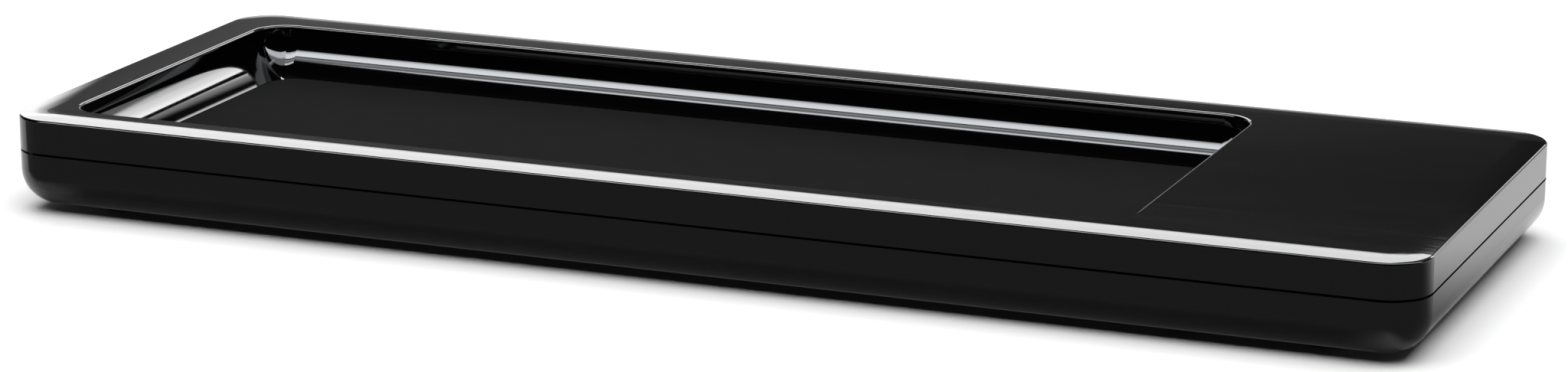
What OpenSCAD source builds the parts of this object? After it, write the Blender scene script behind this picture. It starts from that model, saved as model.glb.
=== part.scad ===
// Low bench demagnetizer: a two-part housing with a lined tray for a watch,
// a rectangular coil wound around the tray and its pulse electronics beside it.
// Heights are measured from the surface that the rubber feet stand on.

/* [Housing] */
// Length of the housing, left to right
body_len = 310; // [306:1:320]
// Depth of the housing, front to back
body_wid = 110; // [109:1:114]
// Height of the two shells, without the feet
body_high = 20; // [20:0.5:21]
// Height of the parting line above the underside
part_line = 12.2; // [12:0.1:12.5]
// Corner radius seen from above
corner_rad = 9; // [9:0.5:10]
// Radius of the top outer edge
top_edge_rad = 0.6; // [0.5:0.1:1.2]
// How far the top falls towards its outer edge
edge_fall = 0.25; // [0.1:0.05:0.3]
// Width of the falling border of the top
edge_fall_wide = 6; // [5:0.5:7]
// Radius of the bottom outer edge
belly_rad = 8; // [7:0.5:8]
// Wall thickness of the shells
wall = 2.2; // [2:0.1:2.3]
// Height of the shadow gap between the shells
seam_gap = 0.5; // [0.2:0.1:0.6]

/* [Tray] */
// Length of the tray opening
tray_len = 238; // [230:1:238]
// Width of the tray opening
tray_wid = 90; // [84:1:90]
// Width of the rim at the left end
tray_rim = 10; // [10:0.5:12]
// Corner radius of the tray opening seen from above
tray_corner = 7.4; // [7:0.1:7.5]
// Radius of the cove that forms the tray's walls
cove_rad = 11.6; // [11:0.1:12]
// Height of the tray floor above the underside
tray_floor = 8.4; // [8.4:0.1:8.6]
// Radius of the lip around the tray opening
lip_rad = 0.6; // [0.5:0.1:1]
// Thickness of the mat
mat_thick = 1; // [0.8:0.1:1.1]
// How far the mat's edge lies inside the tray wall
mat_inset = 5.8; // [5.6:0.1:6.2]
// Corner radius of the mat
mat_corner = 6.5; // [3:0.5:8]

/* [Feet] */
// Diameter of each rubber foot
foot_dia = 14; // [10:1:15]
// How far the feet hold the housing off the bench
foot_stand = 1.4; // [1:0.1:2]

/* [Coil] */
// Width of the winding's section
winding_wide = 3.6; // [3:0.1:3.6]
// Height of the winding's section
winding_high = 9; // [7:0.5:9]

/* [Electronics] */
// Diameter of each pulse capacitor
capacitor_dia = 10; // [8:0.5:10]
// Length of each pulse capacitor
capacitor_len = 22; // [18:1:22]

/* [Power switch] */
// Tilt of the rocker to each side of its middle
rocker_tilt = 10; // [8:0.5:10]
// Tilt of the contact lever for one degree of rocker tilt
lever_ratio = 0.7; // [0.6:0.05:0.7]

/* [Hidden] */
$fn = 96;
MIX = 0.01;

// Shell interior
inner_rad = corner_rad - wall;
inner_belly = belly_rad - wall;
floor_top = wall;
roof_low = body_high - wall;
seam_low = part_line - seam_gap/2;
seam_high = part_line + seam_gap/2;

// Top edge: a wide shallow arc that runs into the small edge radius
crown_rad = (edge_fall_wide*edge_fall_wide + edge_fall*edge_fall)/(2*edge_fall);
crown_reach = edge_fall_wide - top_edge_rad;
crown_rise = sqrt(pow(crown_rad - top_edge_rad, 2) - pow(crown_reach, 2));
crown_axis = body_high - crown_rad;
edge_axis = crown_axis + crown_rise;
edge_start = corner_rad - edge_fall_wide + crown_rad*crown_reach/(crown_rad - top_edge_rad);

// Tongue between the shells
tongue_thick = 0.95;
tongue_high = 2;
tongue_play = 0.1;

// Tray: the cove starts just below the lip, and the mat lies in a shallow recess
tray_x = -body_len/2 + tray_rim + tray_len/2;
tray_right = tray_x + tray_len/2;
cove_z = body_high - lip_rad - 0.2;
mat_low = tray_floor - 0.3;
mat_play = 0.1;
mat_recess_top = tray_floor + 1.4;
tub_wall = 1.8;
tub_floor = 1.7;
tub_low = mat_low - tub_floor;

// Feet
foot_recess = 1.2;
foot_x = 134;
foot_y = 38;
foot_play = 0.1;

// Screws: a short kind under the tray, a long kind beside the coil
screw_rad = 1.2;
screw_hole = screw_rad + 0.02;
screw_free = 1.45;
head_rad = 2.3;
head_thick = 1.5;
head_well = 2.7;
tray_screw_spots = [for (x = [-100, 0, 100], y = [-1, 1]) [tray_x + x, y*30]];
tray_pad_top = 3.2;
tray_screw_seat = 1.8;
tray_screw_tip = 6.6;
post_x = tray_right + 11.5;
post_far_x = body_len/2 - 10.5;
post_y = 44;
post_spots = [for (x = [post_x, post_far_x], y = [-1, 1]) [x, y*post_y]];
post_rad = 3.2;
post_split = 8;
post_seat = 5;
post_screw_tip = 14.5;

// Coil around the tray
former_wall = 0.8;
former_gap = tub_wall + 0.3;
former_low = 5.6;
winding_low = former_low + former_wall;
former_top = winding_low + winding_high + former_wall;
winding_out = former_gap + former_wall;
tape_out = winding_out + winding_wide;
tape_thick = 0.2;
flange_out = tape_out + 0.4;
coil_mid_z = winding_low + winding_high/2;
coil_rests = [for (x = [-95, -32, 32, 95], y = [-1, 1]) [tray_x + x, y*(tray_wid/2 + former_gap + 2.6)]];
coil_end_rests = [for (y = [-1, 1]) [tray_x - tray_len/2 - former_gap - 2.6, y*20]];
rest_len = 8;
rest_wide = 3.6;

// Control board
board_low = 4.6;
board_thick = 1.6;
board_top = board_low + board_thick;
board_left = tray_right + 15.5;
board_right = body_len/2 - 4.6;
board_front = -39;
board_rear = 39;
tongue_rear = 49.8;
tongue_left = board_left + 0.6;
tongue_right = board_left + 31;
board_holes = [[board_left + 3, -11], [board_right - 3, -11], [board_left + 3, 36], [board_right - 3, 36]];
standoff_rad = 2.7;
board_screw_rad = 0.95;
board_screw_tip = 2.4;

small_head = 1.9;
small_screw_hole = board_screw_rad + 0.02;

// Coil terminal: two wire slots side by side
wire_rad = 0.7;
terminal_left = board_left + 0.8;
terminal_wide = 10;
terminal_front = -8.6;
terminal_deep = 7.6;
terminal_high = 8.6;
terminal_screw_low = 5.4;
terminal_screw_rad = 1.3;
slot_z = 3;
slot_y = [for (side = [0.5, -0.5]) terminal_deep/2 + side*3.6];

// Thermal cutoff against the wrapped winding
cutoff_rad = 1.7;
cutoff_x = tray_right + tape_out + tape_thick + cutoff_rad;
cutoff_y = 18;
cutoff_len = 9;

// Pulse capacitors, side by side at the front of the board
capacitor_pitch = 10.4;
capacitor_x0 = board_left + 5.4;
capacitor_front = -38.5;
capacitor_z = board_top + 0.1 + capacitor_dia/2;

// Step-up inductor
inductor_x = board_right - 7;
inductor_y = 6;
inductor_rad = 6;
inductor_neck = 3;
inductor_flange = 1.6;
inductor_high = 8;

// Heat spreader and the thyristor on it
spreader_x = board_left + 10;
spreader_y = 3.2;
spreader_wide = 18;
spreader_deep = 22;
spreader_thick = 1.6;
thyristor_x = spreader_x + 6.4;
tab_thick = 1.3;
tab_hole = 1.52;
tab_hole_y = 18.2;

// Input fuse
fuse_x = board_left + 5;
fuse_y = 22;
fuse_z = board_top + 3.4;
fuse_rad = 2.5;
fuse_half_len = 8;

// Sensor board under the blank panel
sensor_x = board_left + 15.5;
sensor_y = 20;
sensor_len = 28;
sensor_wid = 26;
sensor_low = 15.2;
sensor_thick = 1;
sensor_top = sensor_low + sensor_thick;
sensor_post = 10.5;
ribbon_x = sensor_x + sensor_len/2 - 3;
ribbon_wide = 6;
ribbon_thick = 0.3;
ribbon_front = 27;
socket_high = 2.4;

// Power inlet in the rear wall
inlet_x = board_left + 6.5;
inlet_wide = 9;
inlet_high = 10.8;
inlet_len = 14;
inlet_z = board_top + 6.2;
inlet_front = body_wid/2 - 0.3;
inlet_back = inlet_front - inlet_len;
inlet_bore = 3.2;
inlet_bore_len = 10;
inlet_pin_rad = 1.02;
inlet_play = 0.15;

// Rocker switch in a pocket of the rear wall
switch_x = board_left + 23;
switch_z = 13.3;
pocket_deep = 2.6;
pocket_half_len = 7.9;
pocket_half_high = 5.35;
panel_y = body_wid/2 - pocket_deep;
panel_thick = 2.2;
bezel_half_len = 7.7;
bezel_half_high = 5.2;
bezel_thick = 1.2;
case_half_len = 6.7;
case_half_high = 4.3;
case_wall = 0.7;
case_deep = 10.5;
case_play = 0.1;
rocker_rad = 5.7;
rocker_half_high = 3.4;
pivot_y = panel_y - 0.6;
pivot_rad = 0.9;
pivot_hole = pivot_rad + 0.05;
plunger_reach = 4.6;
plunger_rad = 0.8;
plunger_top = -2.6;
lever_thick = 0.5;
lever_y = pivot_y - plunger_reach - 0.2 - lever_thick/2;
lever_half_len = 4.8;
lever_half_high = 1.8;
lever_pin_rad = 0.35;
lever_pin_hole = lever_pin_rad + 0.04;
button_x = -4;
button_rad = 1;
button_thick = 0.4;
lever_tilt = lever_ratio*rocker_tilt;
contact_drop = (lever_thick/2 + button_thick)*cos(lever_tilt) + (button_rad - button_x)*sin(lever_tilt);
contact_y = lever_y - contact_drop - 0.05;
case_back = panel_y - case_deep;
blade_tip = case_back - 5;
blade_half_high = 1.6;
blade_thick = 0.6;

// ---- shared shapes ----

module in_shell() {
    translate([0, 0, foot_stand]) children();
}

module round_rect(len, wid, rad) {
    square([len - 2*rad, wid], center = true);
    square([len, wid - 2*rad], center = true);
    for (x = [-1, 1], y = [-1, 1])
        translate([x*(len/2 - rad), y*(wid/2 - rad)]) circle(rad);
}

module plate(len, wid, rad, low, high) {
    translate([0, 0, low]) linear_extrude(high - low) round_rect(len, wid, rad);
}

// A rounded rectangle whose edge has the child's section: x runs outward
// from the corner's axis, y is the height, and low to high fills the middle
module profiled_plate(len, wid, rad, low, high) {
    straight_x = len - 2*rad;
    straight_y = wid - 2*rad;
    for (side = [0, 1])
        mirror([0, side, 0]) translate([-straight_x/2, straight_y/2, 0])
            rotate([90, 0, 90]) linear_extrude(straight_x) children();
    for (side = [0, 1])
        mirror([side, 0, 0]) translate([straight_x/2, straight_y/2, 0])
            rotate([90, 0, 0]) linear_extrude(straight_y) children();
    for (x = [0, 1], y = [0, 1])
        mirror([x, 0, 0]) mirror([0, y, 0]) translate([straight_x/2, straight_y/2, 0])
            rotate_extrude(angle = 90) children();
    translate([-straight_x/2, -straight_y/2, low]) cube([straight_x, straight_y, high - low]);
}

// Section of an edge rounded below
module belly_section(wide, rad, low, high) {
    if (wide > rad) translate([0, low]) square([wide - rad, high - low]);
    translate([0, low + rad]) square([wide, high - low - rad]);
    translate([wide - rad, low + rad]) circle(rad);
}

module belly_quarter(wide, rad, low, high) {
    intersection() {
        belly_section(wide, rad, low, high);
        translate([0, low]) square([wide, high - low]);
    }
}

module rod(rad, low, high) {
    translate([0, 0, low]) cylinder(h = high - low, r = rad);
}

module at_spots(spots) {
    for (spot = spots) translate([spot[0], spot[1], 0]) children();
}

module block(low, high) {
    translate(low) cube(high - low);
}

// A point on the curve with four control points
function bend_point(p, t) =
    pow(1 - t, 3)*p[0] + 3*t*pow(1 - t, 2)*p[1] + 3*t*t*(1 - t)*p[2] + pow(t, 3)*p[3];
function unit(v) = v/norm(v);
function ring(at, along, side, rad, count) =
    let (u = unit(cross(along, side)), v = unit(cross(along, u)))
    [for (i = [0:count - 1]) at + rad*(cos(360*i/count)*u + sin(360*i/count)*v)];

// A round wire through the given points, with the given directions at its ends
module wire(points, rad, side, from_way, to_way, count = 8) {
    last = len(points) - 1;
    ways = [for (i = [0:last])
        i == 0 ? unit(from_way) : i == last ? unit(to_way) : unit(points[i + 1] - points[i - 1])];
    rings = [for (i = [0:last]) each ring(points[i], ways[i], side, rad, count)];
    near_side = [for (i = [0:last - 1], j = [0:count - 1])
        [i*count + j, i*count + (j + 1)%count, (i + 1)*count + (j + 1)%count]];
    far_side = [for (i = [0:last - 1], j = [0:count - 1])
        [i*count + j, (i + 1)*count + (j + 1)%count, (i + 1)*count + j]];
    near_end = [for (j = [count - 1:-1:0]) j];
    far_end = [for (j = [0:count - 1]) last*count + j];
    polyhedron(rings, concat([near_end], near_side, far_side, [far_end]));
}

module bent_wire(p, rad, side = [0, 0, 1], steps = 14) {
    wire([for (i = [0:steps]) bend_point(p, i/steps)], rad, side, p[1] - p[0], p[3] - p[2]);
}

// ---- housing ----

module upper_skin() {
    flat_len = corner_rad - edge_fall_wide;
    profiled_plate(body_len, body_wid, corner_rad, seam_high, body_high)
        intersection() {
            union() {
                translate([0, seam_high]) square([corner_rad, edge_axis - seam_high]);
                translate([0, seam_high]) square([edge_start, body_high - seam_high]);
                translate([corner_rad - top_edge_rad, edge_axis]) circle(top_edge_rad);
            }
            union() {
                translate([0, seam_high]) square([flat_len, body_high - seam_high]);
                translate([flat_len, crown_axis]) circle(crown_rad, $fn = 720);
            }
        }
}

// Section of the tray's hollow: the cove, cut off by the floor, below a rounded lip
module hollow_section(top) {
    flare_low = body_high - lip_rad + MIX;
    intersection() {
        translate([0, tray_floor]) square([tray_corner, top - tray_floor]);
        union() {
            translate([0, cove_z]) square([tray_corner, top - cove_z]);
            translate([tray_corner - cove_rad, cove_z]) circle(cove_rad);
        }
    }
    difference() {
        translate([tray_corner - 1, flare_low]) square([1 + lip_rad, top - flare_low]);
        translate([tray_corner + lip_rad, flare_low]) circle(lip_rad);
    }
}

module tray_hollow() {
    top = body_high + 1;
    translate([tray_x, 0, 0])
        profiled_plate(tray_len, tray_wid, tray_corner, tray_floor, top) hollow_section(top);
}

// The mat's outline, grown on all sides
module mat_plate(grow, low, high) {
    inset = mat_inset - grow;
    translate([tray_x, 0, 0])
        plate(tray_len - 2*inset, tray_wid - 2*inset, mat_corner + grow, low, high);
}

module tray_tub() {
    rad = tray_corner + tub_wall;
    translate([tray_x, 0, 0])
        profiled_plate(tray_len + 2*tub_wall, tray_wid + 2*tub_wall, rad, tub_low, body_high - 1)
            belly_quarter(rad, rad, tub_low, body_high - 1);
}

// Openings for the power inlet and the switch, cut through both shells
module rear_openings() {
    block([inlet_x - inlet_wide/2 - inlet_play, inlet_back - 1, board_top - inlet_play],
          [inlet_x + inlet_wide/2 + inlet_play, body_wid/2 + 1, board_top + inlet_high + inlet_play]);
    block([switch_x - pocket_half_len, panel_y, switch_z - pocket_half_high],
          [switch_x + pocket_half_len, body_wid/2 + 1, switch_z + pocket_half_high]);
    block([switch_x - case_half_len - case_play, panel_y - 5, switch_z - case_half_high - case_play],
          [switch_x + case_half_len + case_play, panel_y + 1, switch_z + case_half_high + case_play]);
}

module switch_panel(low, high, back) {
    half = pocket_half_len + 1.8;
    block([switch_x - half, panel_y - panel_thick, low], [switch_x + half, body_wid/2 - wall + back, high]);
}

module upper_housing() {
    color("#141416") in_shell() difference() {
        union() {
            difference() {
                upper_skin();
                plate(body_len - 2*wall, body_wid - 2*wall, inner_rad, seam_high - 1, roof_low);
                plate(body_len - 2*(wall - tongue_thick - tongue_play),
                      body_wid - 2*(wall - tongue_thick - tongue_play),
                      inner_rad + tongue_thick + tongue_play, seam_high - 1, seam_low + tongue_high + 0.2);
            }
            tray_tub();
            switch_panel(seam_high, roof_low + 0.5, -tongue_play);
            switch_panel(seam_low + tongue_high + 0.2, roof_low + 0.5, 0.5);
            at_spots(tray_screw_spots) rod(3, tray_pad_top, tray_floor - 0.5);
            at_spots(post_spots) rod(post_rad, post_split, roof_low + 0.5);
            at_spots(coil_rests)
                block([-rest_len/2, -rest_wide/2, former_top], [rest_len/2, rest_wide/2, roof_low + 0.5]);
            at_spots(coil_end_rests)
                block([-rest_wide/2, -rest_len/2, former_top], [rest_wide/2, rest_len/2, roof_low + 0.5]);
            for (x = [-1, 1])
                translate([sensor_x + x*sensor_post, sensor_y, 0]) rod(2.2, sensor_top, roof_low + 0.5);
        }
        tray_hollow();
        mat_plate(mat_play, mat_low, mat_recess_top);
        rear_openings();
        at_spots(tray_screw_spots) rod(screw_hole, tray_pad_top - 1, tray_screw_tip + 0.3);
        at_spots(post_spots) rod(screw_hole, post_split - 1, post_screw_tip + 1);
        for (x = [-1, 1])
            translate([sensor_x + x*sensor_post, sensor_y, 0])
                rod(small_screw_hole, sensor_top - 1, roof_low + 0.6);
    }
}

module lower_skin() {
    profiled_plate(body_len, body_wid, corner_rad, 0, seam_low)
        belly_quarter(corner_rad, belly_rad, 0, seam_low);
}

module lower_hollow() {
    profiled_plate(body_len - 2*wall, body_wid - 2*wall, inner_rad, floor_top, seam_low + tongue_high + 1)
        belly_quarter(inner_rad, inner_belly, floor_top, seam_low + tongue_high + 1);
}

module lower_housing() {
    tongue_rad = inner_rad + tongue_thick;
    color("#101012") in_shell() difference() {
        union() {
            difference() {
                union() {
                    lower_skin();
                    plate(body_len - 2*(wall - tongue_thick), body_wid - 2*(wall - tongue_thick),
                          tongue_rad, seam_low - 1, seam_low + tongue_high);
                }
                lower_hollow();
            }
            switch_panel(board_top + 0.4, seam_low, 0.5);
            at_spots(tray_screw_spots) rod(3.6, floor_top - 0.5, tray_pad_top);
            at_spots(post_spots) rod(post_rad, floor_top - 0.5, post_split);
            at_spots(board_holes) rod(standoff_rad, floor_top - 0.5, board_low);
            at_spots(coil_rests)
                block([-rest_len/2, -rest_wide/2, floor_top - 0.2], [rest_len/2, rest_wide/2, former_low]);
            at_spots(coil_end_rests)
                block([-rest_wide/2, -rest_len/2, floor_top - 0.2], [rest_wide/2, rest_len/2, former_low]);
            for (x = [-1, 1], y = [-1, 1])
                translate([x*foot_x, y*foot_y, 0]) rod(foot_dia/2 + 1.5, floor_top - 0.5, floor_top + 0.8);
        }
        for (x = [-1, 1], y = [-1, 1])
            translate([x*foot_x, y*foot_y, 0]) rod(foot_dia/2 + foot_play, -1, foot_recess);
        at_spots(tray_screw_spots) {
            rod(head_well, -1, tray_screw_seat);
            rod(screw_free, 0, tray_pad_top + 1);
        }
        at_spots(post_spots) {
            rod(head_well, -1, post_seat);
            rod(screw_free, 0, post_split + 1);
        }
        at_spots(board_holes) rod(small_screw_hole, board_screw_tip - 0.3, board_low + 1);
        rear_openings();
    }
}

module tray_mat() {
    color("#222222") in_shell() mat_plate(0, mat_low, mat_low + mat_thick);
}

module foot(x, y) {
    edge = 0.5;
    color("#1a1a1a") translate([x*foot_x, y*foot_y, 0])
        rotate_extrude() union() {
            translate([0, edge]) square([foot_dia/2, foot_stand + foot_recess - edge]);
            square([foot_dia/2 - edge, edge]);
            intersection() {
                translate([foot_dia/2 - edge, edge]) circle(edge);
                square([foot_dia/2, edge]);
            }
        }
}

// A pan-head screw standing on its head, with a cross recess below
module screw(seat, tip, rad, head, thick) {
    slot = 0.7;
    difference() {
        union() {
            rod(head, seat - thick, seat);
            rod(rad, seat, tip);
        }
        for (turn = [0, 90])
            rotate([0, 0, turn])
                block([-head*0.6, -slot/2, seat - thick - 1], [head*0.6, slot/2, seat - thick*0.4]);
    }
}

// The same screw with its head on top
module top_screw(seat, tip, rad, head, thick) {
    translate([0, 0, seat]) mirror([0, 0, 1]) screw(0, seat - tip, rad, head, thick);
}

module housing_screws() {
    color("#3a3a3c") in_shell() at_spots(post_spots)
        screw(post_seat, post_screw_tip, screw_rad, head_rad, head_thick);
}

module tray_screws() {
    color("#3a3a3c") in_shell() at_spots(tray_screw_spots)
        screw(tray_screw_seat, tray_screw_tip, screw_rad, head_rad, head_thick);
}

// ---- coil ----

// A band around the tray between two offsets from its opening
module tray_band(inner, outer, low, high) {
    translate([tray_x, 0, low]) linear_extrude(high - low) difference() {
        round_rect(tray_len + 2*outer, tray_wid + 2*outer, tray_corner + outer);
        round_rect(tray_len + 2*inner, tray_wid + 2*inner, tray_corner + inner);
    }
}

module coil_former() {
    color("#d8d2c0") in_shell() {
        tray_band(former_gap, winding_out, former_low, former_top);
        tray_band(former_gap, flange_out, former_low, winding_low);
        tray_band(former_gap, flange_out, former_top - former_wall, former_top);
    }
}

module coil_winding() {
    color("#b5652a") in_shell()
        tray_band(winding_out, tape_out, winding_low, winding_low + winding_high);
}

module coil_tape() {
    color("#d9a514") in_shell()
        tray_band(tape_out, tape_out + tape_thick, winding_low + 0.3, winding_low + winding_high - 0.3);
}

module coil_lead(y_from, slot) {
    start = [tray_right + tape_out + tape_thick + wire_rad - 0.1, y_from, coil_mid_z + 3];
    finish = [terminal_left + 0.9, terminal_front + slot_y[slot], board_top + slot_z];
    in_shell() bent_wire([start, start + [4, 0, 0.5], finish - [5, 0, 0], finish], wire_rad);
}

module coil_lead_start() {
    color("#b02020") coil_lead(-12, 1);
}

module coil_lead_finish() {
    color("#202020") coil_lead(4, 0);
}

module thermal_cutoff() {
    color("#c9c9c4") in_shell() translate([cutoff_x, cutoff_y, coil_mid_z])
        rotate([-90, 0, 0]) rod(cutoff_rad, 0, cutoff_len);
}

module thermal_leads() {
    lead_rad = 0.35;
    z = coil_mid_z;
    top = board_top;
    color("#c4c4c8") in_shell() {
        near = [cutoff_x, cutoff_y, z];
        near_pad = [board_left + 1.4, cutoff_y - 6, top];
        bent_wire([near, near - [0, 3.5, 0], near_pad + [0, 0, 6], near_pad], lead_rad, [1, 0, 0]);
        far = [cutoff_x, cutoff_y + cutoff_len, z];
        far_pad = [board_left + 1.4, cutoff_y + cutoff_len + 4.5, top];
        bent_wire([far, far + [0, 3.5, 0], far_pad + [0, 0, 6], far_pad], lead_rad, [1, 0, 0]);
    }
}

// ---- control board ----

module control_board() {
    color("#1f5a34") in_shell() difference() {
        union() {
            block([board_left, board_front, board_low], [board_right, board_rear, board_top]);
            block([tongue_left, board_rear - 1, board_low], [tongue_right, tongue_rear, board_top]);
        }
        at_spots(board_holes) rod(1.2, board_low - 1, board_top + 1);
    }
}

module board_screws() {
    color("#c8c8cc") in_shell() at_spots(board_holes)
        top_screw(board_top, board_screw_tip, board_screw_rad, small_head, 1.2);
}

// A round capacitor on its side, with two leads turned down into the board
module pulse_capacitor(index) {
    groove = 0.45;
    lead_gap = 2.5;
    lead_rad = 0.35;
    rad = capacitor_dia/2;
    rear = capacitor_front + capacitor_len;
    lead_x = capacitor_x0 + index*capacitor_pitch;
    color("#1c2f5e") in_shell() translate([lead_x, 0, 0]) {
        difference() {
            translate([0, capacitor_front, capacitor_z]) rotate([-90, 0, 0]) rod(rad, 0, capacitor_len);
            translate([0, rear - 2.4, capacitor_z]) rotate([-90, 0, 0]) difference() {
                rod(rad + 1, 0, 1);
                rod(rad - groove, -1, 2);
            }
        }
        for (x = [-1, 1]) translate([x*lead_gap, 0, 0]) {
            translate([0, rear - 0.2, capacitor_z]) rotate([-90, 0, 0]) rod(lead_rad, 0, 1.2);
            translate([0, rear + 1, capacitor_z - 0.8]) rotate([90, 0, 0]) rotate([0, 90, 0])
                rotate_extrude(angle = 90) translate([0.8, 0]) circle(lead_rad, $fn = 24);
            translate([0, rear + 1.8, 0]) rod(lead_rad, board_top, capacitor_z - 0.8);
        }
    }
}

module soft_box(len, wid, high, rad) {
    linear_extrude(high) round_rect(len, wid, rad);
}

module resonance_capacitor() {
    color("#c43c1e") in_shell() translate([board_left + 21, -4.6, board_top])
        soft_box(15, 7.6, 9.6, 0.8);
}

module input_capacitor() {
    color("#26262a") in_shell() translate([board_right - 4.4, 22, board_top]) {
        soft_box(6.6, 6.6, 0.9, 0.6);
        rod(3.15, 0.9, 7.4);
    }
}

module inductor_core() {
    color("#2c2c30") in_shell() translate([inductor_x, inductor_y, board_top]) {
        rod(inductor_rad, 0, inductor_flange);
        rod(inductor_neck, inductor_flange, inductor_high - inductor_flange);
        rod(inductor_rad, inductor_high - inductor_flange, inductor_high);
    }
}

module inductor_winding() {
    play = 0.05;
    color("#b5652a") in_shell() translate([inductor_x, inductor_y, board_top]) difference() {
        rod(inductor_rad - 0.6, inductor_flange + play, inductor_high - inductor_flange - play);
        rod(inductor_neck + play, 1, inductor_high);
    }
}

// A plate with one edge turned up
module heat_spreader() {
    color("#b9bcc0") in_shell() translate([spreader_x, spreader_y, board_top]) difference() {
        union() {
            block([0, 0, 0], [spreader_wide, spreader_deep, spreader_thick]);
            block([spreader_wide - spreader_thick, 0, 0], [spreader_wide, spreader_deep, 6.4]);
        }
        translate([thyristor_x - spreader_x, tab_hole_y, 0]) rod(tab_hole, -1, 3);
    }
}

module pulse_thyristor() {
    color("#232326") in_shell()
    translate([thyristor_x, spreader_y, board_top + spreader_thick]) difference() {
        union() {
            block([-5, 5.6, 0], [5, 21.2, tab_thick]);
            block([-5, 5.6, 0], [5, 14.8, 4.4]);
            for (x = [-2.54, 0, 2.54]) {
                block([x - 0.4, 1, 2.2], [x + 0.4, 5.7, 2.7]);
                block([x - 0.4, 0.6, 0.2], [x + 0.4, 1.1, 2.7]);
            }
        }
        translate([0, tab_hole_y, 0]) rod(tab_hole, -1, 3);
    }
}

module thyristor_screw() {
    color("#c8c8cc") in_shell() translate([thyristor_x, spreader_y + tab_hole_y, 0])
        top_screw(board_top + spreader_thick + tab_thick, board_top + 0.1, tab_hole - 0.02, 2.7, 1.6);
}

module chip(len, wid, high, legs, pitch) {
    translate([0, 0, 0.15]) soft_box(len, wid, high, 0.2);
    for (i = [0:legs - 1], side = [0, 1])
        mirror([0, side, 0]) translate([(i - (legs - 1)/2)*pitch, 0, 0]) {
            block([-0.2, wid/2 - 0.2, high*0.45], [0.2, wid/2 + 0.5, high*0.45 + 0.2]);
            block([-0.2, wid/2 + 0.3, 0.2], [0.2, wid/2 + 0.5, high*0.45 + 0.1]);
            block([-0.2, wid/2 + 0.3, 0], [0.2, wid/2 + 1.1, 0.2]);
        }
}

module control_chip() {
    color("#1c1c1e") in_shell() translate([board_left + 18, 33.5, board_top]) chip(9.9, 3.9, 1.4, 8, 1.27);
}

module driver_chip() {
    color("#1c1c1e") in_shell() translate([board_left + 31.5, 32.5, board_top]) chip(4.9, 3.9, 1.4, 4, 1.27);
}

module small_resistors() {
    color("#303034") in_shell() for (i = [0:5])
        translate([board_left + 11 + 2.3*i, 28.4, board_top]) block([-0.6, -1, 0], [0.6, 1, 0.55]);
}

module input_fuse() {
    color("#d8dcdc") in_shell() translate([fuse_x, fuse_y, fuse_z])
        rotate([-90, 0, 0]) rod(fuse_rad, -fuse_half_len, fuse_half_len);
}

module fuse_clips() {
    color("#c8a04a") in_shell() for (side = [0, 1])
        translate([fuse_x, fuse_y, fuse_z]) mirror([0, side, 0]) difference() {
            block([-3, 4.2, board_top - fuse_z], [3, 8.6, 1.4]);
            rotate([-90, 0, 0]) rod(fuse_rad + 0.05, 3, fuse_half_len + 0.1);
            block([-2.3, 3, 0], [2.3, fuse_half_len + 0.1, 3]);
        }
}

module coil_terminal() {
    color("#2a6a3a") in_shell() translate([terminal_left, terminal_front, board_top]) difference() {
        block([0, 0, 0], [terminal_wide, terminal_deep, terminal_high]);
        for (y = slot_y) {
            translate([0, y, slot_z]) rotate([0, 90, 0]) rod(wire_rad + 0.1, -1, 3.6);
            translate([terminal_wide/2, y, 0])
                rod(terminal_screw_rad + 0.1, terminal_screw_low, terminal_high + 1);
        }
    }
}

module terminal_screws() {
    color("#c8c8cc") in_shell() translate([terminal_left, terminal_front, board_top])
        for (y = slot_y)
            translate([terminal_wide/2, y, 0]) difference() {
                rod(terminal_screw_rad, terminal_screw_low, terminal_high - 0.6);
                block([-2, -0.25, terminal_high - 1.4], [2, 0.25, terminal_high]);
            }
}

// ---- touch and light panel ----

module board_socket() {
    side = 0.4;
    color("#e8e4d8") in_shell()
        block([ribbon_x - 2, ribbon_front - side, board_top],
              [ribbon_x + 2, ribbon_front + ribbon_wide + side, board_top + socket_high]);
}

module sensor_board() {
    color("#1f5a34") in_shell() difference() {
        translate([sensor_x, sensor_y, sensor_low]) linear_extrude(sensor_thick)
            round_rect(sensor_len, sensor_wid, 1.5);
        for (x = [-1, 1])
            translate([sensor_x + x*sensor_post, sensor_y, 0]) rod(1.2, sensor_low - 1, sensor_top + 1);
    }
}

module sensor_screws() {
    color("#c8c8cc") in_shell() for (x = [-1, 1])
        translate([sensor_x + x*sensor_post, sensor_y, 0])
            screw(sensor_low, roof_low - 0.2, board_screw_rad, small_head, 1.1);
}

module touch_pad() {
    color("#c8803a") in_shell() translate([sensor_x, sensor_y - 6, 0]) rod(5, sensor_top, roof_low);
}

module status_leds() {
    color("#e6e6da") in_shell() for (x = [-6, 0, 6])
        translate([sensor_x + x, sensor_y + 8, sensor_top]) {
            block([-1, -0.6, 0], [1, 0.6, 0.5]);
            block([-0.7, -0.5, 0.4], [0.7, 0.5, 0.9]);
        }
}

// A flat ribbon that drops from the sensor board to its socket
module sensor_ribbon() {
    color("#d9d6cc") in_shell()
        block([ribbon_x - ribbon_thick/2, ribbon_front, board_top + socket_high],
              [ribbon_x + ribbon_thick/2, ribbon_front + ribbon_wide, sensor_low]);
}

// ---- power inlet ----

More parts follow.
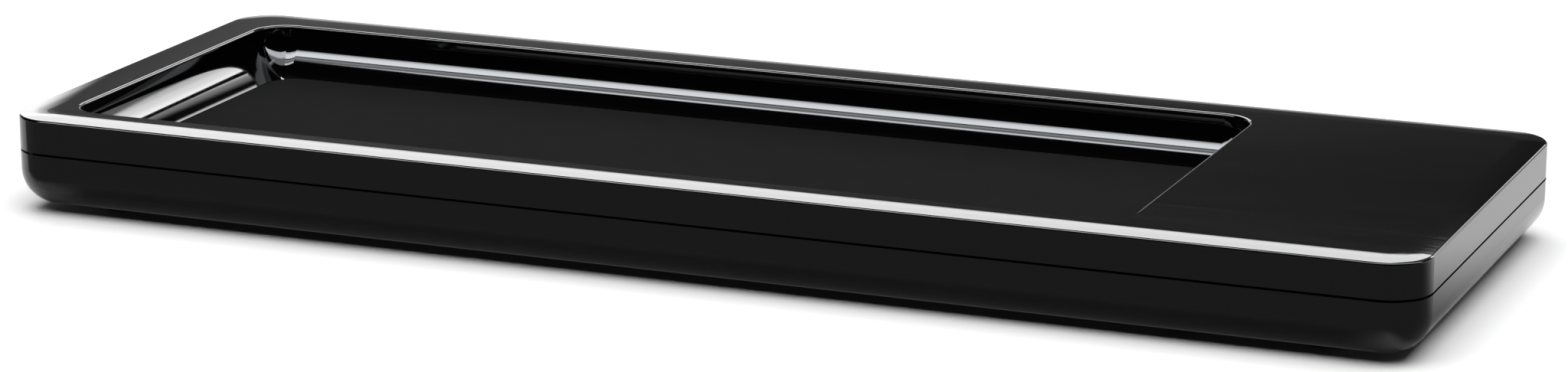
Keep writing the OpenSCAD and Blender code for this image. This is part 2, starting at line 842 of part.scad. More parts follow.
module inlet_body() {
    color("#1b1b1d") in_shell() difference() {
        block([inlet_x - inlet_wide/2, inlet_back, board_top],
              [inlet_x + inlet_wide/2, inlet_front, board_top + inlet_high]);
        translate([inlet_x, inlet_front - inlet_bore_len, inlet_z])
            rotate([-90, 0, 0]) rod(inlet_bore, 0, inlet_bore_len + 1);
        translate([inlet_x, inlet_back - 1, inlet_z]) rotate([-90, 0, 0]) rod(inlet_pin_rad + 0.02, 0, 6);
        block([inlet_x - 1.6, inlet_back - 1, inlet_z - inlet_bore - 0.6],
              [inlet_x + 1.6, inlet_front - 2, inlet_z - inlet_bore + 0.5]);
    }
}

module inlet_pin() {
    color("#d0d0d4") in_shell() translate([inlet_x, 0, inlet_z]) {
        rotate([-90, 0, 0]) rod(inlet_pin_rad, inlet_back - 0.6, inlet_front - 1.6);
        block([-1.3, inlet_back - 1.1, board_top - inlet_z], [1.3, inlet_back - 0.5, 1.3]);
    }
}

module inlet_spring() {
    low = inlet_z - inlet_bore - 0.5;
    color("#c8a04a") in_shell() translate([inlet_x, 0, 0])
        block([-1.3, inlet_back, low], [1.3, inlet_front - 2.4, low + 0.3]);
}

// ---- power switch ----

// Moves its children to the switch: x along the wall, y outward, z up
module at_switch(y) {
    in_shell() translate([switch_x, y, switch_z]) children();
}

module switch_body() {
    cavity_len = case_half_len - case_wall;
    cavity_high = case_half_high - case_wall;
    tab = 0.4;
    color("#1b1b1d") at_switch(panel_y) difference() {
        union() {
            block([-bezel_half_len, 0, -bezel_half_high], [bezel_half_len, bezel_thick, bezel_half_high]);
            block([-case_half_len, -case_deep, -case_half_high], [case_half_len, 0.5, case_half_high]);
            for (side = [-1, 1])
                translate([side*case_half_len, 0, 0])
                    block([-tab, -4.2, -1.5], [tab, -panel_thick - 0.05, 1.5]);
        }
        block([-cavity_len, -case_deep + 1, -cavity_high], [cavity_len, bezel_thick + 1, cavity_high]);
        translate([0, pivot_y - panel_y, 0]) rod(pivot_hole, -case_half_high - 1, case_half_high + 1);
        for (x = [0, button_x])
            block([x - blade_thick/2, -case_deep - 1, -blade_half_high],
                  [x + blade_thick/2, -case_deep + 2, blade_half_high]);
    }
}

module rocker_frame() {
    at_switch(pivot_y) rotate([0, 0, rocker_tilt]) children();
}

module switch_rocker() {
    dip = 1.1;
    rise = 2.1;
    bottom = -1.2;
    well = plunger_rad + 0.1;
    color("#1e1e20") rocker_frame() difference() {
        union() {
            translate([0, 0, -rocker_half_high]) linear_extrude(2*rocker_half_high) intersection() {
                circle(rocker_rad);
                polygon([[-6, bottom], [6, bottom], [6, rise], [0, dip], [-6, rise]]);
            }
            block([-1.5, -3, -1.5], [1.5, bottom + 0.1, 1.5]);
            rod(pivot_rad, -case_half_high + 0.05, case_half_high - 0.05);
        }
        translate([0, -4, 0]) rotate([-90, 0, 0]) rod(well, 0, 4);
    }
}

module rocker_plunger() {
    color("#d8d2c0") rocker_frame() {
        translate([0, -plunger_reach + plunger_rad, 0]) sphere(plunger_rad);
        rotate([-90, 0, 0]) rod(plunger_rad, -plunger_reach + plunger_rad, plunger_top);
    }
}

module plunger_spring() {
    turns = 5;
    per_turn = 10;
    coil_rad = 0.6;
    strand = 0.12;
    low = plunger_top + strand + 0.02;
    rise = -0.2 - strand - low;
    steps = turns*per_turn;
    color("#c8c8cc") rocker_frame()
        wire([for (i = [0:steps]) [
            coil_rad*cos(360*i/per_turn), low + rise*i/steps, coil_rad*sin(360*i/per_turn)]],
            strand, [0, 1, 0], [0, 0, 1], [0, 0, 1], 6);
}

module contact_lever() {
    color("#c88a4a") at_switch(lever_y) rotate([0, 0, -lever_tilt]) {
        block([-lever_half_len, -lever_thick/2, -lever_half_high],
              [lever_half_len, lever_thick/2, lever_half_high]);
        rod(lever_pin_rad, -lever_half_high - 0.9, lever_half_high + 0.9);
        translate([button_x, 0, 0]) rotate([90, 0, 0]) rod(button_rad, 0, lever_thick/2 + button_thick);
    }
}

module fixed_contact() {
    color("#c8a04a") at_switch(contact_y) translate([button_x, 0, 0]) {
        rotate([90, 0, 0]) rod(1.2, 0, 0.5);
        block([-blade_thick/2, -0.7, -blade_half_high + 0.02],
              [blade_thick/2, -0.4, blade_half_high - 0.02]);
        block([-blade_thick/2 + 0.02, blade_tip - contact_y, -blade_half_high + 0.02],
              [blade_thick/2 - 0.02, -0.4, blade_half_high - 0.02]);
    }
}

module common_contact() {
    ear = 0.4;
    ear_low = lever_half_high + 0.2;
    base = -1.6;
    color("#c8a04a") at_switch(lever_y) {
        difference() {
            for (side = [0, 1]) mirror([0, 0, side])
                block([-0.9, base, ear_low], [0.9, 0.9, ear_low + ear]);
            rod(lever_pin_hole, -4, 4);
        }
        block([-0.9, base - 0.4, -ear_low - ear], [0.9, base, ear_low + ear]);
        block([-blade_thick/2 + 0.02, blade_tip - lever_y, -blade_half_high + 0.02],
              [blade_thick/2 - 0.02, base - 0.2, blade_half_high - 0.02]);
    }
}

module switch_wire(x, pad) {
    lug = [switch_x + x, blade_tip + 0.6, switch_z];
    end = [pad[0], pad[1], board_top];
    in_shell() bent_wire([lug - [0, 0.9, 0], lug - [0, 4.5, 0], end + [0, 0, 6], end], 0.55, [1, 0, 0]);
}

module switch_wire_supply() {
    color("#b02020") switch_wire(button_x, [switch_x - 8, 38.2]);
}

module switch_wire_board() {
    color("#b02020") switch_wire(0, [switch_x + 3, 38.2]);
}

upper_housing();
lower_housing();
tray_mat();
foot(-1, -1);  // foot_front_left
foot(1, -1);  // foot_front_right
foot(-1, 1);  // foot_rear_left
foot(1, 1);  // foot_rear_right
housing_screws();
tray_screws();
coil_former();
coil_winding();
coil_tape();
coil_lead_start();
coil_lead_finish();
thermal_cutoff();
thermal_leads();
control_board();
board_screws();
pulse_capacitor(0);  // pulse_capacitor_1
pulse_capacitor(1);  // pulse_capacitor_2
pulse_capacitor(2);  // pulse_capacitor_3
pulse_capacitor(3);  // pulse_capacitor_4
resonance_capacitor();
input_capacitor();
inductor_core();
inductor_winding();
pulse_thyristor();
heat_spreader();
thyristor_screw();
control_chip();
driver_chip();
small_resistors();
input_fuse();
fuse_clips();
coil_terminal();
terminal_screws();
board_socket();
sensor_board();
sensor_screws();
touch_pad();
status_leds();
sensor_ribbon();
inlet_body();
inlet_pin();
inlet_spring();
switch_body();
switch_rocker();
rocker_plunger();
plunger_spring();
contact_lever();
fixed_contact();
common_contact();
switch_wire_supply();
switch_wire_board();
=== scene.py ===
import math

import bpy
from mathutils import Matrix, Vector


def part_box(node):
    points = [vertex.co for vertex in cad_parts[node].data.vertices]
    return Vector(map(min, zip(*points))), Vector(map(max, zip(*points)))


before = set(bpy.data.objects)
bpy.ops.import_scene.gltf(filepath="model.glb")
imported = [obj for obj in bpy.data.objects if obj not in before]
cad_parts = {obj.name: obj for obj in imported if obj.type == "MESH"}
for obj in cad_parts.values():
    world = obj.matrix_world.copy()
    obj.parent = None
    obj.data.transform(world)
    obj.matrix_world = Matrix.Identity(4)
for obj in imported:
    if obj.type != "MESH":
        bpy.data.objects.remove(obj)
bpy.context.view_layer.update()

# Every CAD piece is shown in its own shape. This script makes the materials of the pieces, the
# camera, the floor and a studio of cards for the gloss to reflect. Lengths are in metres.

MM = 0.001

# ---------------------------------------------------------------- camera

CAMERA_AZIMUTH = math.radians(22.35)
CAMERA_ELEVATION = math.radians(14.863)
CAMERA_ROLL = math.radians(-0.045)
# Place of the camera, along its own axes, from the middle of the housing's underside
CAMERA_ASIDE = 2.2 * MM
CAMERA_ABOVE = 6.36 * MM
CAMERA_DISTANCE = 976.2 * MM
CAMERA_LENS = 105.46
SENSOR_WIDTH = 36.0
NEAREST_SEEN = 0.01
FURTHEST_SEEN = 50


def camera_axes():
    """Right, up and back of the camera, as unit vectors in the frame."""
    back = Vector((
        math.sin(CAMERA_AZIMUTH) * math.cos(CAMERA_ELEVATION),
        -math.cos(CAMERA_AZIMUTH) * math.cos(CAMERA_ELEVATION),
        math.sin(CAMERA_ELEVATION),
    ))
    level_right = Vector((0, 0, 1)).cross(back).normalized()
    level_up = back.cross(level_right)
    cosine, sine = math.cos(CAMERA_ROLL), math.sin(CAMERA_ROLL)
    right = cosine * level_right + sine * level_up
    up = cosine * level_up - sine * level_right
    return right, up, back


def make_camera():
    """The camera, low and a little to the right of the front."""
    data = bpy.data.cameras.new("camera")
    data.lens = CAMERA_LENS
    data.sensor_width = SENSOR_WIDTH
    data.clip_start = NEAREST_SEEN
    data.clip_end = FURTHEST_SEEN
    camera = bpy.data.objects.new("camera", data)
    bpy.context.scene.collection.objects.link(camera)
    right, up, back = camera_axes()
    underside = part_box("lower_housing")[0].z
    camera.matrix_world = Matrix((right, up, back)).transposed().to_4x4()
    camera.location = (
        CAMERA_ASIDE * right + CAMERA_ABOVE * up + CAMERA_DISTANCE * back
        + Vector((0, 0, underside))
    )
    bpy.context.scene.camera = camera


# ---------------------------------------------------------------- node helpers

# Most of a noise texture's values lie between these two
NOISE_LOW = 0.3
NOISE_HIGH = 0.7
# About the distance between two ribs of a winding or of a ribbon cable
RIB_SPACING = 0.4 * MM


def grey(level):
    return (level, level, level)


def tones(colour, spread):
    """A darker and a lighter tone around a colour."""
    return [tuple(min(1, part * share) for part in colour) for share in (1 - spread, 1 + spread)]


def colour_ramp(tree, value, stops, blending="LINEAR"):
    """Colours placed along a value from 0 to 1."""
    made = tree.nodes.new("ShaderNodeValToRGB")
    made.color_ramp.interpolation = blending
    elements = made.color_ramp.elements
    while len(elements) < len(stops):
        elements.new(0.5)
    for element, (position, colour) in zip(elements, stops):
        element.position = position
        element.color = (*colour, 1)
    tree.links.new(value, made.inputs["Fac"])
    return made.outputs["Color"]


def combine(tree, kind, first, second):
    """Two values, each a node's output or a number, put together by a Math node."""
    made = tree.nodes.new("ShaderNodeMath")
    made.operation = kind
    for socket, value in zip(made.inputs, (first, second)):
        if isinstance(value, (int, float)):
            socket.default_value = value
        else:
            tree.links.new(value, socket)
    return made.outputs["Value"]


class Finish:
    """A material under construction: short ways to add and join its nodes."""

    def __init__(self, name, **constants):
        """A plain shader with constant values on its own sockets."""
        self.material = bpy.data.materials.new(name)
        self.material.use_nodes = True
        self.tree = self.material.node_tree
        self.shader = self.tree.nodes["Principled BSDF"]
        where = self.tree.nodes.new("ShaderNodeTexCoord")
        self.place = where.outputs["Object"]
        for key, value in constants.items():
            self.shader.inputs[key.replace("_", " ")].default_value = value

    def node(self, kind, **settings):
        made = self.tree.nodes.new(kind)
        for key, value in settings.items():
            setattr(made, key, value)
        return made

    def join(self, source, target):
        self.tree.links.new(source, target)

    def stretched(self, x, y, z):
        """The place in the frame, scaled by a factor along each axis."""
        made = self.node("ShaderNodeMapping")
        made.inputs["Scale"].default_value = (x, y, z)
        self.join(self.place, made.inputs["Vector"])
        return made.outputs["Vector"]

    def noise(self, size, detail=2.0, rough=0.5, place=None):
        """Noise whose blobs are about `size` metres across."""
        made = self.node("ShaderNodeTexNoise")
        made.inputs["Scale"].default_value = 1 / size
        made.inputs["Detail"].default_value = detail
        made.inputs["Roughness"].default_value = rough
        self.join(place or self.place, made.inputs["Vector"])
        return made.outputs["Fac"]

    def cells(self, size):
        """Voronoi cells about `size` metres across."""
        made = self.node("ShaderNodeTexVoronoi")
        made.inputs["Scale"].default_value = 1 / size
        self.join(self.place, made.inputs["Vector"])
        return made.outputs["Distance"]

    def ribs(self, axis):
        """Rounded ribs that follow each other along an axis."""
        made = self.node("ShaderNodeTexWave", bands_direction=axis, wave_profile="SIN")
        made.inputs["Scale"].default_value = 1 / (math.pi * RIB_SPACING)
        self.join(self.place, made.inputs["Vector"])
        return made.outputs["Fac"]

    def ramp(self, value, *stops):
        return colour_ramp(self.tree, value, stops)

    def levels(self, value, low, high, start=NOISE_LOW, end=NOISE_HIGH):
        """A value between start and end, remapped to low to high."""
        made = self.node("ShaderNodeMapRange")
        for key, number in (
            ("From Min", start), ("From Max", end), ("To Min", low), ("To Max", high),
        ):
            made.inputs[key].default_value = number
        self.join(value, made.inputs["Value"])
        return made.outputs["Result"]

    def bump(self, height, depth, strength=1.0):
        """Relief of `depth` metres from a height of 0 to 1."""
        made = self.node("ShaderNodeBump")
        made.inputs["Strength"].default_value = strength
        made.inputs["Distance"].default_value = depth
        self.join(height, made.inputs["Height"])
        return made.outputs["Normal"]

    def colour(self, source):
        self.join(source, self.shader.inputs["Base Color"])

    def tinted(self, value, colour, spread, start=NOISE_LOW, end=NOISE_HIGH):
        """Colour that goes from a darker to a lighter tone as a value goes from start to end."""
        dark, light = tones(colour, spread)
        self.colour(self.ramp(value, (start, dark), (end, light)))

    def roughness(self, source):
        self.join(source, self.shader.inputs["Roughness"])

    def relief(self, source):
        self.join(source, self.shader.inputs["Normal"])


# ---------------------------------------------------------------- materials

# Scale along each axis that draws a noise out into lines along one of them
LINES_ALONG_Z = (1, 1, 0.05)
LINES_ALONG_Y = (1, 0.05, 1)


def gloss_black():
    """High-gloss black moulding: faint flow waviness and hairline wiping marks."""
    made = Finish("shell_gloss", IOR=1.5, Specular_IOR_Level=0.5)
    flow = made.noise(18 * MM, detail=1)
    wipes = made.noise(1.2 * MM, detail=3, place=made.stretched(0.03, 1, 1))
    made.tinted(flow, (0.0009, 0.0009, 0.00095), spread=0.15)
    made.roughness(made.levels(wipes, low=0.035, high=0.06))
    made.relief(made.bump(flow, depth=0.0008 * MM))
    return made.material


def fine_mat():
    """Matt black mat: closed, very fine grain with soft mottling."""
    made = Finish("mat_rubber", IOR=1.45, Specular_IOR_Level=0.01)
    grain = made.noise(0.35 * MM, detail=4, rough=0.65)
    mottling = made.noise(6 * MM, detail=2)
    grain_share = combine(made.tree, "MULTIPLY", grain, 0.7)
    mottling_share = combine(made.tree, "MULTIPLY", mottling, 0.3)
    both = combine(made.tree, "ADD", grain_share, mottling_share)
    made.tinted(both, grey(0.0072), spread=0.15, start=0.35, end=0.65)
    made.roughness(made.levels(grain, low=0.88, high=0.98))
    made.relief(made.bump(grain, depth=0.03 * MM, strength=0.6))
    return made.material


def foot_rubber():
    """Matt rubber with a slightly dusty, uneven surface."""
    made = Finish("foot_rubber", IOR=1.5, Specular_IOR_Level=0.35)
    grain = made.noise(0.25 * MM, detail=3)
    made.tinted(made.noise(2.5 * MM, detail=3), grey(0.02), spread=0.25)
    made.roughness(made.levels(grain, low=0.7, high=0.88))
    made.relief(made.bump(grain, depth=0.02 * MM, strength=0.7))
    return made.material


def moulded(name, colour, rough, grain_depth=0.012 * MM, spread=0.1):
    """Moulded plastic with a fine spark-eroded texture."""
    made = Finish(name, IOR=1.5)
    pits = made.cells(0.18 * MM)
    made.tinted(made.noise(3 * MM, detail=2), colour, spread)
    made.roughness(made.levels(pits, low=rough - 0.06, high=rough + 0.08, start=0, end=0.8))
    made.relief(made.bump(pits, depth=grain_depth, strength=0.5))
    return made.material


def metal(name, colour, rough, stretch=LINES_ALONG_Z):
    """Bare or plated metal with fine drawing or milling lines."""
    made = Finish(name, Metallic=1.0)
    lines = made.noise(0.12 * MM, detail=3, place=made.stretched(*stretch))
    made.tinted(made.noise(1.5 * MM, detail=3), colour, spread=0.08)
    made.roughness(made.levels(lines, low=rough - 0.07, high=rough + 0.1))
    made.relief(made.bump(lines, depth=0.004 * MM, strength=0.5))
    return made.material


def blackened_steel():
    """Black-oxide screws: dark, a little shiny, worn lighter in specks."""
    made = Finish("screw_black", Metallic=0.85)
    wear = made.noise(0.5 * MM, detail=5, rough=0.7)
    made.colour(made.ramp(
        wear,
        (0.35, (0.03, 0.03, 0.032)),
        (0.62, (0.06, 0.06, 0.063)),
        (0.78, (0.16, 0.155, 0.15)),
    ))
    made.roughness(made.levels(wear, low=0.32, high=0.5))
    made.relief(made.bump(wear, depth=0.006 * MM, strength=0.5))
    return made.material


def copper_wire():
    """Enamelled copper: the turns of the winding as rounded ribs up its height, with painted shade
    darkening the grooves between them.
    """
    made = Finish("copper", Metallic=0.9, Coat_Weight=0.6, Coat_Roughness=0.12)
    turns_and_groove_shade = made.ribs("Z")
    # Painted shade: the colour is darker in the grooves between the turns.
    made.colour(made.ramp(turns_and_groove_shade, (0.0, (0.22, 0.07, 0.025)), (0.6, (0.72, 0.32, 0.14))))
    made.roughness(made.levels(made.noise(2 * MM), low=0.2, high=0.36))
    made.relief(made.bump(turns_and_groove_shade, depth=0.12 * MM))
    return made.material


def amber_tape():
    """Polyimide tape: amber film with small wrinkles."""
    made = Finish("amber_tape", IOR=1.6, Coat_Weight=0.4, Coat_Roughness=0.1)
    wrinkles = made.noise(1.8 * MM, detail=4, place=made.stretched(1, 1, 0.35))
    made.colour(made.ramp(wrinkles, (0.35, (0.36, 0.16, 0.012)), (0.65, (0.74, 0.42, 0.05))))
    made.roughness(made.levels(wrinkles, low=0.18, high=0.34))
    made.relief(made.bump(wrinkles, depth=0.05 * MM, strength=0.6))
    return made.material


def solder_mask():
    """Green circuit board: copper tracks showing faintly through the mask."""
    made = Finish("board_green", IOR=1.5, Coat_Weight=0.3, Coat_Roughness=0.15)
    tracks = made.node("ShaderNodeTexBrick", offset=0.5, squash=1.4)
    tracks.inputs["Scale"].default_value = 1 / (9 * MM)
    tracks.inputs["Mortar Size"].default_value = 0.035
    tracks.inputs["Color1"].default_value = (0.022, 0.13, 0.055, 1)
    tracks.inputs["Color2"].default_value = (0.026, 0.145, 0.06, 1)
    tracks.inputs["Mortar"].default_value = (0.05, 0.24, 0.09, 1)
    made.join(made.place, tracks.inputs["Vector"])
    made.colour(tracks.outputs["Color"])
    made.roughness(made.levels(made.noise(0.6 * MM), low=0.28, high=0.42))
    made.relief(made.bump(tracks.outputs["Fac"], depth=0.03 * MM, strength=0.6))
    return made.material


def clear_glass():
    """Fuse tube: clear glass with faint drawing streaks."""
    made = Finish("fuse_glass", IOR=1.5, Transmission_Weight=0.92)
    streaks = made.noise(0.8 * MM, place=made.stretched(0.1, 1, 1))
    made.colour(made.ramp(
        streaks, (NOISE_LOW, (0.8, 0.86, 0.84)), (NOISE_HIGH, (0.93, 0.96, 0.95)),
    ))
    made.roughness(made.levels(streaks, low=0.02, high=0.07))
    return made.material


def clear_epoxy():
    """LED lens: milky clear epoxy."""
    made = Finish("led_lens", IOR=1.52, Transmission_Weight=0.35, Subsurface_Weight=0.15)
    haze = made.noise(0.5 * MM, detail=3)
    made.colour(made.ramp(
        haze, (NOISE_LOW, (0.66, 0.65, 0.58)), (NOISE_HIGH, (0.86, 0.85, 0.78)),
    ))
    made.roughness(made.levels(haze, low=0.08, high=0.2))
    return made.material


def flat_ribbon():
    """Ribbon cable: grey insulation ribbed by its conductors, with painted shade darkening the
    grooves between them.
    """
    made = Finish("ribbon_grey", IOR=1.48)
    wires_and_groove_shade = made.ribs("Y")
    # Painted shade: the grey is darker in the grooves between the conductors.
    made.colour(made.ramp(wires_and_groove_shade, (0.0, (0.48, 0.46, 0.42)), (0.5, (0.68, 0.66, 0.6))))
    made.roughness(made.levels(made.noise(1 * MM), low=0.45, high=0.6))
    made.relief(made.bump(wires_and_groove_shade, depth=0.1 * MM))
    return made.material


def slot_of(material):
    """The slot of the record that a material is named after, without a number that Blender adds."""
    return material.name.split(".")[0]


def all_finishes():
    """One material for each slot of the record."""
    made = (
        gloss_black(),
        fine_mat(),
        foot_rubber(),
        blackened_steel(),
        moulded("former_plastic", (0.66, 0.62, 0.52), rough=0.5),
        copper_wire(),
        amber_tape(),
        moulded("wire_red", (0.42, 0.018, 0.015), rough=0.42, grain_depth=0.006 * MM),
        moulded("wire_black", grey(0.018), rough=0.42, grain_depth=0.006 * MM),
        metal("bright_steel", (0.62, 0.62, 0.64), rough=0.24),
        metal("tinned_wire", (0.72, 0.72, 0.74), rough=0.2),
        solder_mask(),
        moulded("capacitor_sleeve", (0.018, 0.035, 0.15), rough=0.24, grain_depth=0.002 * MM),
        moulded("film_red", (0.46, 0.075, 0.025), rough=0.28, grain_depth=0.004 * MM),
        moulded("ferrite", (0.03, 0.03, 0.034), rough=0.6, grain_depth=0.02 * MM, spread=0.3),
        metal("aluminium_plate", (0.74, 0.75, 0.77), rough=0.3, stretch=LINES_ALONG_Y),
        moulded("chip_black", (0.018, 0.018, 0.02), rough=0.55, grain_depth=0.01 * MM),
        metal("brass_contact", (0.74, 0.53, 0.2), rough=0.22),
        clear_glass(),
        moulded("terminal_green", (0.04, 0.26, 0.09), rough=0.4),
        moulded("socket_cream", (0.78, 0.74, 0.62), rough=0.42),
        clear_epoxy(),
        flat_ribbon(),
        moulded("switch_black", (0.016, 0.016, 0.018), rough=0.36, grain_depth=0.01 * MM),
        metal("spring_steel", (0.6, 0.6, 0.62), rough=0.2),
    )
    return {slot_of(material): material for material in made}


def finish_nodes(finishes):
    """Gives each CAD node the finish of its own slot."""
    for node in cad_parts.values():
        for holder in node.material_slots:
            holder.material = finishes[slot_of(holder.material)]


# ---------------------------------------------------------------- cards

WHITE = (1, 1, 1)
UPWARD = (0, 0, 1)
REARWARD = (0, 1, 0)
# Height between the cards of painted shade that lie over each other on the floor
SHADE_CARD_STEP = 0.2 * MM


def add_object(name, data):
    made = bpy.data.objects.new(name, data)
    bpy.context.scene.collection.objects.link(made)
    return made


def rectangle(name, width, height):
    """A flat rectangle round the origin in its own X and Y, facing its +Z."""
    x, y = width / 2, height / 2
    mesh = bpy.data.meshes.new(name)
    mesh.from_pydata([(-x, -y, 0), (x, -y, 0), (x, y, 0), (-x, y, 0)], [], [(0, 1, 2, 3)])
    across = mesh.uv_layers.new(name="UVMap")
    for corner, place in zip(across.data, [(0, 0), (1, 0), (1, 1), (0, 1)]):
        corner.uv = place
    return add_object(name, mesh)


def turned_to(direction, up):
    """A rotation whose +Z points along direction, with its +Y as near up as can be."""
    z = Vector(direction).normalized()
    x = Vector(up).cross(z).normalized()
    return Matrix((x, z.cross(x), z)).transposed().to_4x4()


def fade(first, last):
    """Stops over a card: 1 inside, falling to 0 over a share of its size at either end."""
    return ((0, 0), (first, 1), (1 - last, 1), (1, 0))


def card_glow(name, strength, colour, upwards, sideways):
    """Light over a card, and how much of it there is along each of its sides."""
    material = bpy.data.materials.new(name)
    material.use_nodes = True
    tree = material.node_tree
    tree.nodes.clear()
    where = tree.nodes.new("ShaderNodeTexCoord")
    parts = tree.nodes.new("ShaderNodeSeparateXYZ")
    tree.links.new(where.outputs["UV"], parts.inputs["Vector"])
    shares = []
    for axis, stops in (("X", sideways), ("Y", upwards)):
        places = [(place, grey(level)) for place, level in stops]
        shares.append(colour_ramp(tree, parts.outputs[axis], places, blending="EASE"))
    glow = tree.nodes.new("ShaderNodeEmission")
    glow.inputs["Color"].default_value = (*colour, 1)
    glow.inputs["Strength"].default_value = strength
    clear = tree.nodes.new("ShaderNodeBsdfTransparent")
    mix = tree.nodes.new("ShaderNodeMixShader")
    share, unlit, lit = mix.inputs
    tree.links.new(combine(tree, "MULTIPLY", *shares), share)
    tree.links.new(clear.outputs["BSDF"], unlit)
    tree.links.new(glow.outputs["Emission"], lit)
    out = tree.nodes.new("ShaderNodeOutputMaterial")
    tree.links.new(mix.outputs["Shader"], out.inputs["Surface"])
    return material


def soft_card(name, centre, facing, up, size, strength, upwards, sideways, colour=WHITE):
    """A glowing card for gloss to reflect. The camera doesn't see it, and it lights nothing matt."""
    card = rectangle(name, *size)
    card.matrix_world = Matrix.Translation(centre) @ turned_to(facing, up)
    card.data.materials.append(card_glow(name, strength, colour, upwards, sideways))
    card.visible_camera = False
    card.visible_shadow = False
    card.visible_diffuse = False


def standing_card(name, ends, levels, sideways=fade(0.02, 0.02), colour=WHITE):
    """An upright card between two places on the floor plan, left and right as seen from the
    object. Its levels are the brightness at each height in metres."""
    foot, head = levels[0][0], levels[-1][0]
    brightest = max(level for _, level in levels)
    upwards = [((height - foot) / (head - foot), level / brightest) for height, level in levels]
    left, right = (Vector((*end, 0)) for end in ends)
    middle = (left + right) / 2 + Vector((0, 0, (foot + head) / 2))
    along = right - left
    facing = (along.y, -along.x, 0)
    size = (along.length, head - foot)
    soft_card(name, middle, facing, UPWARD, size, brightest, upwards, sideways, colour)


def floor_shade_card(name, middle, layer, size, level, upwards, sideways):
    """A card of painted shade that lies on the floor, darker than it, which the camera doesn't see.
    Higher layers lie over lower ones.
    """
    centre = (*middle, layer * SHADE_CARD_STEP)
    soft_card(name, centre, UPWARD, REARWARD, size, level, upwards, sideways)


# ---------------------------------------------------------------- studio

FLOOR_SIZE = 16.0
FLOOR_BLOTCH = 0.4

# A lamp over the object, square and facing down
CEILING_PLACE = (0.15, -0.25, 1.5)
CEILING_SIZE = 2.4
CEILING_POWER = 62

# Levels of the surroundings by direction, each placed at a part of the direction from -1 to 1:
# sideways and upwards for the wall behind, upwards for its pale foot, and where behind begins
WALL_BY_SIDE = (
    (-0.53, 0.11), (-0.46, 0.23), (-0.4, 0.2), (-0.31, 0.11), (-0.2, 0.065), (1.0, 0.05),
)
WALL_BY_HEIGHT = ((-0.1, 1.0), (0.235, 1.0), (0.248, 0.5), (0.5, 0.3))
WALL_FOOT = ((-0.1, 1.0), (0.0, 1.25), (0.12, 1.25), (0.16, 0.0))
WALL_BEHIND = ((0.0, 0.0), (0.3, 1.0))

# Ends of each upright card on the floor plan
RIM_ENDS = ((-1.3, 1.0), (-0.04, 1.0))
LEFT_END_ENDS = ((-1.3, 1.02), (-0.8, 1.02))
WINDOW_ENDS = ((-0.02, -0.364), (-0.8, -0.618))
RIGHT_WINDOW_ENDS = ((1.1, 0.32), (-0.02, -0.43))
TRAY_ENDS = ((1.08, 2.741), (1.494, 2.516))
EDGE_ENDS = ((0.31, 3.0), (0.9, 3.0))
BACK_SCRIM_ENDS = ((0.329, 2.963), (0.935, 2.8))
SIDE_SCRIM_ENDS = ((1.1, 2.85), (1.1, 0.0))

# Brightness of each upright card at its heights
RIM_LEVELS = (
    (0.353, 0.0), (0.36, 3.4), (0.55, 3.8), (0.75, 6.5),
    (1.0, 9.5), (1.4, 12.0), (2.2, 13.0), (2.35, 0.0),
)
LEFT_END_LEVELS = ((0.03, 0.0), (0.2, 3.0), (0.38, 3.4), (0.40, 0.0))
WINDOW_LEVELS = (
    (0.375, 0.0), (0.40, 9.0), (0.47, 16.0), (0.64, 18.0), (0.66, 1.0),
    (0.70, 1.0), (0.72, 3.5), (0.78, 3.5), (0.79, 7.0), (0.82, 7.0),
    (0.83, 3.0), (1.03, 3.0), (1.05, 13.0), (1.28, 13.0), (1.33, 0.0),
)
RIGHT_WINDOW_LEVELS = (
    (0.38, 0.0), (0.40, 11.0), (0.60, 12.0), (0.66, 7.0), (0.72, 3.0), (1.35, 3.0), (1.5, 0.0),
)
TRAY_LEVELS = (
    (0.30, 0.0), (0.31, 3.5), (0.48, 6.0), (0.82, 8.5), (1.29, 11.4), (1.34, 11.4), (1.345, 0.0),
)
EDGE_LEVELS = ((0.72, 0.0), (0.78, 3.5), (1.1, 3.5), (1.15, 0.0))
SCRIM_LEVELS = ((1.385, 0.0), (1.39, 5.0), (1.55, 2.0), (1.82, 0.0))

DAYLIGHT = (0.93, 0.96, 1.0)

# Shares of the glow of a card of painted shade along one of its sides, from 0 to 1
FRONT_DARK_REFLECTION_SIDEWAYS = ((0, 0), (0.25, 0), (0.5, 1), (0.98, 1), (1, 0))
UNDER_SHADOW_REARWARD = ((0, 0), (0.02, 1), (0.12, 0.9), (0.25, 0.35), (0.75, 0.35), (0.98, 1), (1, 0))


def flat_view():
    """Plain display of tones, without a film curve."""
    settings = bpy.context.scene.view_settings
    settings.view_transform = "Standard"
    settings.look = "None"


def surroundings():
    """Dim studio: a pale wall behind near the floor, grey to its left, black elsewhere."""
    world = bpy.data.worlds.new("studio")
    bpy.context.scene.world = world
    world.use_nodes = True
    tree = world.node_tree
    where = tree.nodes.new("ShaderNodeTexCoord")
    parts = tree.nodes.new("ShaderNodeSeparateXYZ")
    tree.links.new(where.outputs["Generated"], parts.inputs["Vector"])

    def by_direction(axis, stops):
        """Levels placed along a part of the direction, which runs from -1 to 1."""
        shifted = tree.nodes.new("ShaderNodeMapRange")
        shifted.inputs["From Min"].default_value = -1
        tree.links.new(parts.outputs[axis], shifted.inputs["Value"])
        places = [((part + 1) / 2, grey(level)) for part, level in stops]
        return colour_ramp(tree, shifted.outputs["Result"], places)

    by_side = by_direction("X", WALL_BY_SIDE)
    by_height = by_direction("Z", WALL_BY_HEIGHT)
    wall = combine(tree, "MULTIPLY", by_side, by_height)
    either = combine(tree, "MAXIMUM", by_direction("Z", WALL_FOOT), wall)
    light = combine(tree, "MULTIPLY", by_direction("Y", WALL_BEHIND), either)
    tree.links.new(light, tree.nodes["Background"].inputs["Color"])


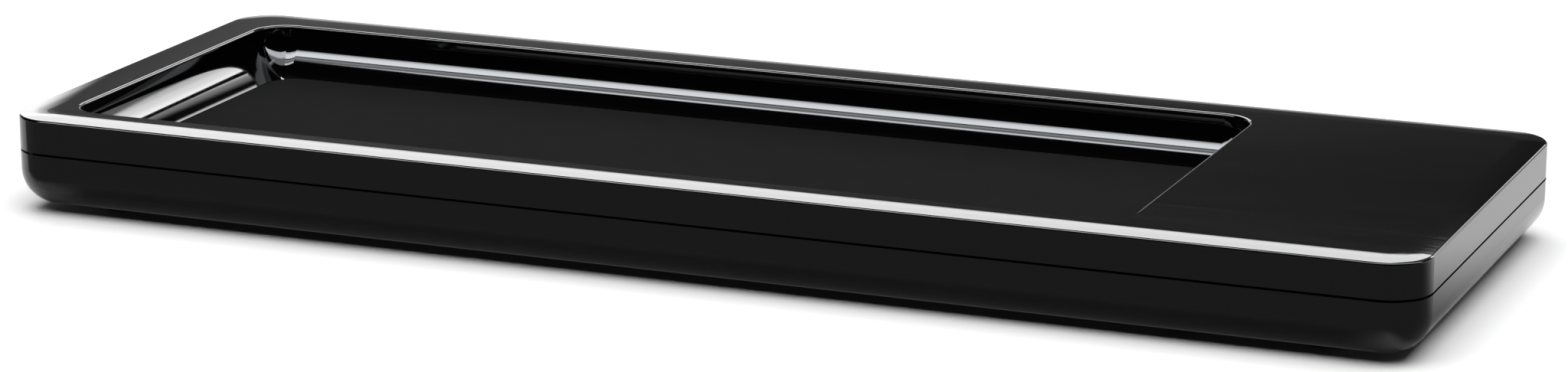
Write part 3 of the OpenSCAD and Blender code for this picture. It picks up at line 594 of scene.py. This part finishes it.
def make_floor():
    """A plain pale floor, a little uneven in tone."""
    floor = rectangle("floor", FLOOR_SIZE, FLOOR_SIZE)
    made = Finish("floor_pale", Specular_IOR_Level=0.1)
    tone = made.noise(FLOOR_BLOTCH, detail=2)
    made.colour(made.ramp(tone, (NOISE_LOW, grey(0.84)), (NOISE_HIGH, grey(0.86))))
    made.roughness(made.levels(tone, low=0.9, high=1.0))
    floor.data.materials.append(made.material)


def ceiling_light():
    """Broad soft light from above, which only matt surfaces take up."""
    data = bpy.data.lights.new("ceiling", "AREA")
    data.shape = "RECTANGLE"
    data.size, data.size_y = CEILING_SIZE, CEILING_SIZE
    data.energy = CEILING_POWER
    light = add_object("ceiling", data)
    light.location = CEILING_PLACE
    light.visible_camera = False
    light.visible_glossy = False


def studio_cards():
    """Windows and scrims round the object, which its gloss shows as bands."""
    standing_card("rim_card", RIM_ENDS, RIM_LEVELS)
    standing_card("left_end_card", LEFT_END_ENDS, LEFT_END_LEVELS, fade(0.05, 0.1))
    standing_card("window_card", WINDOW_ENDS, WINDOW_LEVELS, fade(0.01, 0.1), DAYLIGHT)
    standing_card(
        "right_window_card", RIGHT_WINDOW_ENDS, RIGHT_WINDOW_LEVELS, fade(0.05, 0.01), DAYLIGHT,
    )
    standing_card("tray_card", TRAY_ENDS, TRAY_LEVELS, fade(0.02, 0.1))
    standing_card("edge_card", EDGE_ENDS, EDGE_LEVELS, fade(0.1, 0.1))
    standing_card("back_scrim_card", BACK_SCRIM_ENDS, SCRIM_LEVELS)
    standing_card("side_scrim_card", SIDE_SCRIM_ENDS, SCRIM_LEVELS)


def painted_floor_shade():
    """Dim cards on the floor, which the gloss of the outer walls shows: painted shadow beside and
    under the body, and a painted dark reflection of the floor in front of it.
    """
    # Painted dark reflection: a dim card in front of the body, seen in the gloss of the front walls
    # where the camera sees a pale floor.
    floor_shade_card(
        "front_dark_reflection_card", middle=(-0.18, -0.455), layer=3, size=(1.56, 0.8), level=0.23,
        upwards=fade(0.02, 0.012), sideways=FRONT_DARK_REFLECTION_SIDEWAYS,
    )
    # Painted shadow: a dim card beside the right wall, fading out toward the back and away from the
    # body.
    floor_shade_card(
        "right_painted_shadow_card", middle=(0.4, -0.02), layer=2, size=(0.5, 0.13), level=0.2,
        upwards=fade(0.01, 0.6), sideways=fade(0.01, 0.2),
    )
    # Painted shadow: a dim card over the body's footprint, standing in for the dark floor under it.
    floor_shade_card(
        "under_painted_shadow_card", middle=(0, 0), layer=1, size=(0.312, 0.134), level=0.08,
        upwards=UNDER_SHADOW_REARWARD, sideways=fade(0.06, 0.06),
    )


make_camera()
flat_view()
surroundings()
make_floor()
ceiling_light()
studio_cards()
painted_floor_shade()
finish_nodes(all_finishes())
